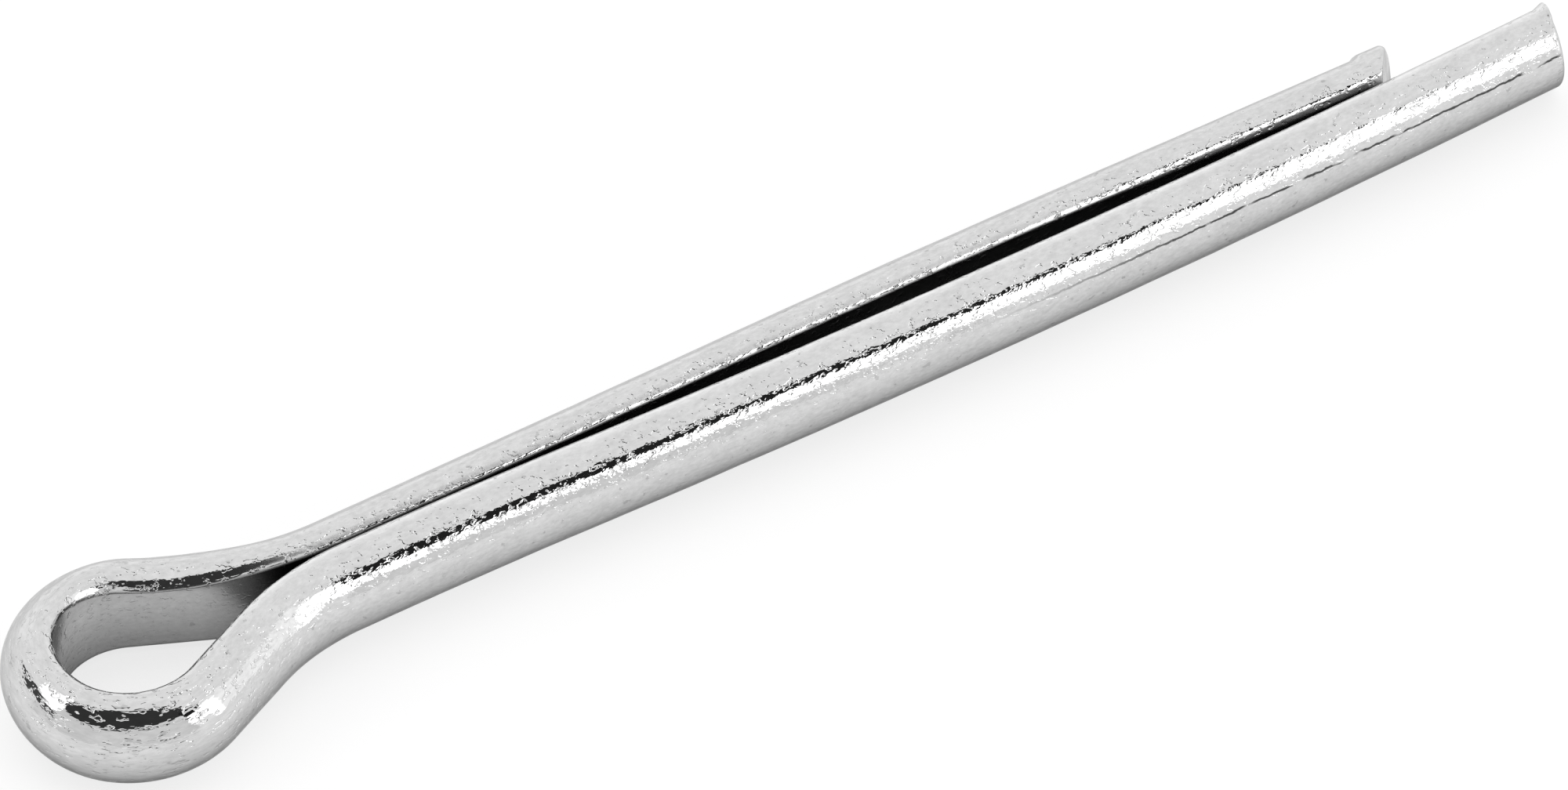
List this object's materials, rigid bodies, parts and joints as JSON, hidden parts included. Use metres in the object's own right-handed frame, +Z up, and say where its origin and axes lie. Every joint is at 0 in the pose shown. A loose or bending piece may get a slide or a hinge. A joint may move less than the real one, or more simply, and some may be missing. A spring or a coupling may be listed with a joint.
{
  "type": "cotter pin",
  "caption": "Cotter pin folded from half-round wire: an open teardrop eye, an S-shaped neck, and sprung legs that lie flat to flat, with an extended prong.",
  "frame": {"origin": "on the shank's axis, halfway between the legs and halfway up the wire, where the neck ends and the legs begin", "axes": "+X along the shank from the eye towards the cut ends, +Y across the legs towards the short one, +Z up from the surface that the pin lies on"},
  "size_m": [0.0894, 0.0128, 0.0054],
  "materials": {
    "zinc_plated_steel": "bright zinc plate over drawn wire, with fine draw lines, small pits and scuffs"
  },
  "bodies": {
    "root": {"cotter_pin": "zinc_plated_steel"}
  },
  "joints": []
}
